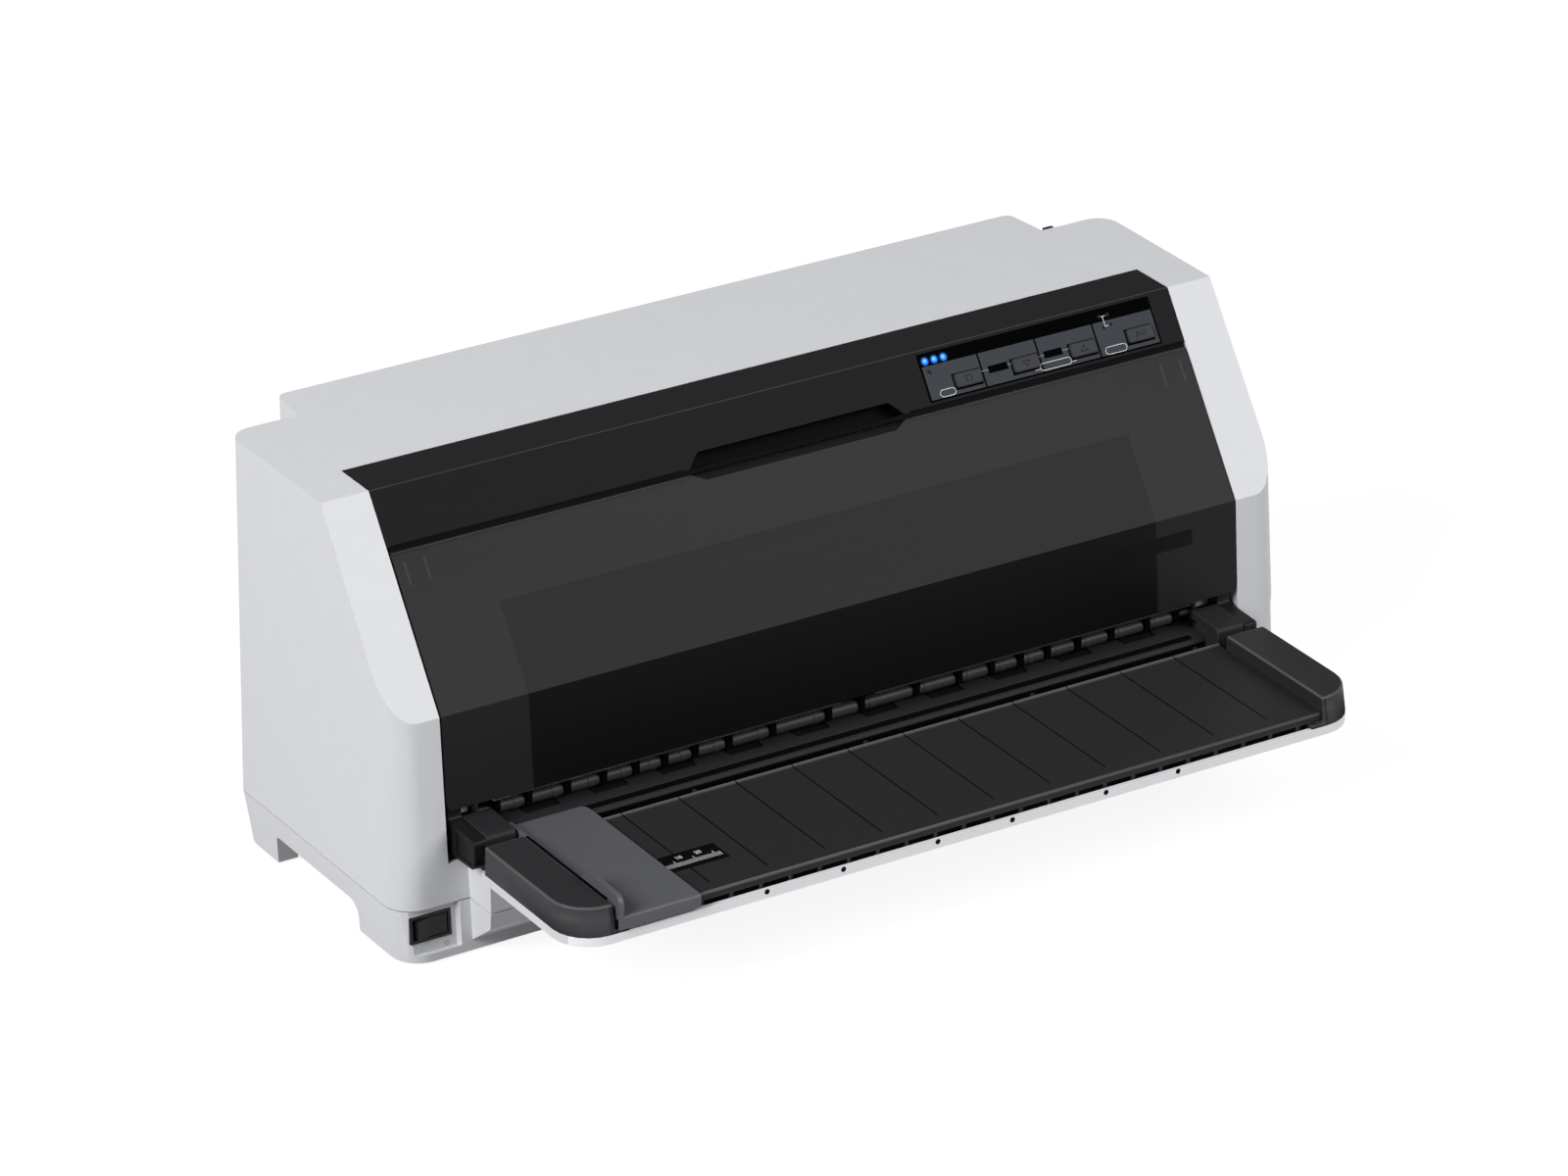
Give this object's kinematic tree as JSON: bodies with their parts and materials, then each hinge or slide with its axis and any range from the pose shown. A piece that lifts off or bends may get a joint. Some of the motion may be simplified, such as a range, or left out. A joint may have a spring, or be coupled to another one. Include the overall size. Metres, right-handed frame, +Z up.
{
  "type": "dot matrix printer",
  "caption": "Wide flat-bed dot matrix printer with a hinged smoked front cover, a front paper tray with a sliding edge guide, a slanted key panel and a rear paper door.",
  "frame": {"origin": "middle of the whole object's footprint box, on the surface it stands on", "axes": "+X to the right seen from the front, +Y to the back (the paper tray points to -Y), +Z up"},
  "size_m": [0.619, 0.3638, 0.261],
  "materials": {
    "case_abs": "fine moulded texture, cool light grey",
    "lower_abs": "fine moulded texture, cool light grey",
    "black_abs": "fine moulded texture, near black",
    "smoked_pc": "smoked translucent polycarbonate",
    "guide_abs": "mid grey, satin",
    "key_abs": "dark grey, satin",
    "panel_film": "printed film, blue grey",
    "lamp": "clear blue lens",
    "scale_film": "printed scale film, black",
    "switch_plastic": "black",
    "rubber": "moulded rubber",
    "zinc_steel": "zinc plated sheet",
    "ground_steel": "ground and plated rod",
    "dark_steel": "dark paint",
    "roller_rubber": "ground rubber on steel",
    "gear_pom": "natural acetal",
    "brass_gear": "hobbed brass",
    "board": "green solder mask",
    "ribbon_ink": "inked nylon",
    "winder": "blue thumb wheel"
  },
  "bodies": {
    "case": {"lower_case": "lower_abs", "upper_case": "case_abs", "control_bar": "black_abs", "key_panel": "panel_film", "lamp_lenses": "lamp", "key_board": "board", "hinge_blocks": "black_abs", "tray_plate": "black_abs", "tray_shell": "case_abs", "tray_scale": "scale_film", "rocker_housing": "switch_plastic", "rubber_pads": "rubber", "case_screws": "zinc_steel", "chassis_floor": "zinc_steel", "side_frames": "zinc_steel", "front_guide": "black_abs", "rear_guide": "black_abs", "platen": "black_abs", "tear_bar": "zinc_steel", "pinch_holder": "black_abs", "carriage_rod": "ground_steel", "carriage_rail": "zinc_steel", "feed_motor": "dark_steel", "carriage_motor": "dark_steel", "carriage_belt": "rubber", "ribbon_cartridge": "black_abs", "ribbon": "ribbon_ink", "tractor_rod": "ground_steel", "power_supply": "zinc_steel", "main_board": "board"},
    "tear_off_key": {"key_tear_off": "key_abs"},
    "line_feed_key": {"key_line_feed": "key_abs"},
    "load_key": {"key_load": "key_abs"},
    "pause_key": {"key_pause": "key_abs"},
    "cover": {"front_cover": "smoked_pc", "cover_pins": "ground_steel"},
    "guide": {"edge_guide": "guide_abs"},
    "rocker": {"power_rocker": "switch_plastic"},
    "front_feed": {"front_feed_roller": "roller_rubber"},
    "rear_feed": {"rear_feed_roller": "roller_rubber"},
    "tractor_drive": {"tractor_shaft": "ground_steel"},
    "idler_front": {"front_idler_gear": "gear_pom"},
    "idler_rear": {"rear_idler_gear": "gear_pom"},
    "pinion": {"feed_pinion": "brass_gear"},
    "front_pinch": {"front_pinch_rollers": "roller_rubber"},
    "rear_pinch": {"rear_pinch_rollers": "roller_rubber"},
    "head_carriage": {"carriage": "black_abs", "print_head": "dark_steel", "ribbon_mask": "ground_steel"},
    "drive_pulley": {"motor_pulley": "gear_pom"},
    "tension_pulley": {"idler_pulley": "gear_pom"},
    "ribbon_winder": {"ribbon_knob": "winder"},
    "tractor_left": {"left_tractor": "black_abs"},
    "tractor_right": {"right_tractor": "black_abs"},
    "wheel_left": {"left_pin_wheel": "gear_pom"},
    "wheel_right": {"right_pin_wheel": "gear_pom"},
    "door_left": {"left_tractor_door": "guide_abs"},
    "door_right": {"right_tractor_door": "guide_abs"},
    "lever": {"release_lever": "black_abs"},
    "door": {"rear_door": "case_abs"}
  },
  "joints": [
    {"name": "cover_hinge", "type": "hinge", "parent": "case", "child": "cover", "pos_m": [0, -0.0591, 0.0725], "axis": [1, 0, 0], "range_deg": [0, 80]},
    {"name": "tear_off_press", "type": "slide", "parent": "case", "child": "tear_off_key", "axis": [0, 0.8229, -0.5682], "range_m": [0, 0.0008], "stiffness_N_per_m": 300, "springref_m": -0.001},
    {"name": "line_feed_press", "type": "slide", "parent": "case", "child": "line_feed_key", "axis": [0, 0.8229, -0.5682], "range_m": [0, 0.0008], "stiffness_N_per_m": 300, "springref_m": -0.001},
    {"name": "load_press", "type": "slide", "parent": "case", "child": "load_key", "axis": [0, 0.8229, -0.5682], "range_m": [0, 0.0008], "stiffness_N_per_m": 300, "springref_m": -0.001},
    {"name": "pause_press", "type": "slide", "parent": "case", "child": "pause_key", "axis": [0, 0.8229, -0.5682], "range_m": [0, 0.0008], "stiffness_N_per_m": 300, "springref_m": -0.001},
    {"name": "power_rock", "type": "hinge", "parent": "case", "child": "rocker", "pos_m": [-0.2879, -0.0415, 0.02141], "axis": [0, 0.0734, 0.9973], "range_deg": [-14, 0]},
    {"name": "guide_slide", "type": "slide", "parent": "case", "child": "guide", "axis": [1, 0, 0], "range_m": [0, 0.038]},
    {"name": "rear_feed_spin", "type": "hinge", "parent": "case", "child": "rear_feed", "pos_m": [0, 0.0399, 0.0653], "axis": [1, 0, 0], "continuous": true},
    {"name": "front_feed_spin", "type": "hinge", "parent": "case", "child": "front_feed", "pos_m": [0, -0.0311, 0.0653], "axis": [1, 0, 0], "continuous": true},
    {"name": "tractor_spin", "type": "hinge", "parent": "case", "child": "tractor_drive", "pos_m": [0, 0.1179, 0.0609], "axis": [1, 0, 0], "continuous": true},
    {"name": "front_idler_spin", "type": "hinge", "parent": "case", "child": "idler_front", "pos_m": [-0.256, 0.0044, 0.05932], "axis": [1, 0, 0], "continuous": true},
    {"name": "rear_idler_spin", "type": "hinge", "parent": "case", "child": "idler_rear", "pos_m": [-0.256, 0.07569, 0.05592], "axis": [1, 0, 0], "continuous": true},
    {"name": "pinion_spin", "type": "hinge", "parent": "case", "child": "pinion", "pos_m": [-0.256, 0.09601, 0.08193], "axis": [1, 0, 0], "continuous": true},
    {"name": "front_pinch_spin", "type": "hinge", "parent": "case", "child": "front_pinch", "pos_m": [0, -0.0311, 0.0783], "axis": [1, 0, 0], "continuous": true},
    {"name": "rear_pinch_spin", "type": "hinge", "parent": "case", "child": "rear_pinch", "pos_m": [0, 0.0399, 0.0783], "axis": [1, 0, 0], "continuous": true},
    {"name": "carriage_slide", "type": "slide", "parent": "case", "child": "head_carriage", "axis": [1, 0, 0], "range_m": [-0.18, 0.18]},
    {"name": "drive_pulley_spin", "type": "hinge", "parent": "case", "child": "drive_pulley", "pos_m": [-0.228, 0.0679, 0.126], "axis": [0, 0, 1], "continuous": true},
    {"name": "tension_pulley_spin", "type": "hinge", "parent": "case", "child": "tension_pulley", "pos_m": [0.228, 0.0679, 0.126], "axis": [0, 0, 1], "continuous": true},
    {"name": "ribbon_wind", "type": "hinge", "parent": "case", "child": "ribbon_winder", "pos_m": [-0.15, -0.0211, 0.128], "axis": [0, 0, 1], "continuous": true},
    {"name": "left_tractor_slide", "type": "slide", "parent": "case", "child": "tractor_left", "axis": [1, 0, 0], "range_m": [-0.02, 0.06]},
    {"name": "right_tractor_slide", "type": "slide", "parent": "case", "child": "tractor_right", "axis": [1, 0, 0], "range_m": [-0.06, 0.02]},
    {"name": "left_wheel_spin", "type": "hinge", "parent": "tractor_left", "child": "wheel_left", "pos_m": [-0.15, 0.1179, 0.0609], "axis": [1, 0, 0], "continuous": true},
    {"name": "right_wheel_spin", "type": "hinge", "parent": "tractor_right", "child": "wheel_right", "pos_m": [0.15, 0.1179, 0.0609], "axis": [1, 0, 0], "continuous": true},
    {"name": "left_tractor_door_hinge", "type": "hinge", "parent": "tractor_left", "child": "door_left", "pos_m": [-0.16, 0.1074, 0.0769], "axis": [0, -1, 0], "range_deg": [0, 100]},
    {"name": "right_tractor_door_hinge", "type": "hinge", "parent": "tractor_right", "child": "door_right", "pos_m": [0.16, 0.1074, 0.0769], "axis": [0, 1, 0], "range_deg": [0, 100]},
    {"name": "lever_hinge", "type": "hinge", "parent": "case", "child": "lever", "pos_m": [0.2665, 0.1589, 0.224], "axis": [-1, 0, 0], "range_deg": [0, 25]},
    {"name": "rear_door_hinge", "type": "hinge", "parent": "case", "child": "door", "pos_m": [0, 0.1424, 0.209], "axis": [1, 0, 0], "range_deg": [0, 70]}
  ],
  "couplings": [
    {"joint": "front_feed_spin", "follows": "rear_feed_spin", "ratio": 1},
    {"joint": "tractor_spin", "follows": "rear_feed_spin", "ratio": 0.68571},
    {"joint": "front_idler_spin", "follows": "rear_feed_spin", "ratio": -0.5},
    {"joint": "rear_idler_spin", "follows": "rear_feed_spin", "ratio": -0.48},
    {"joint": "pinion_spin", "follows": "rear_feed_spin", "ratio": 1.5},
    {"joint": "front_pinch_spin", "follows": "rear_feed_spin", "ratio": -1.7778},
    {"joint": "rear_pinch_spin", "follows": "rear_feed_spin", "ratio": -1.7778},
    {"joint": "left_wheel_spin", "follows": "rear_feed_spin", "ratio": 0.68571},
    {"joint": "right_wheel_spin", "follows": "rear_feed_spin", "ratio": 0.68571},
    {"joint": "drive_pulley_spin", "follows": "carriage_slide", "rad_per_m": 115.6},
    {"joint": "tension_pulley_spin", "follows": "carriage_slide", "rad_per_m": 115.6}
  ]
}
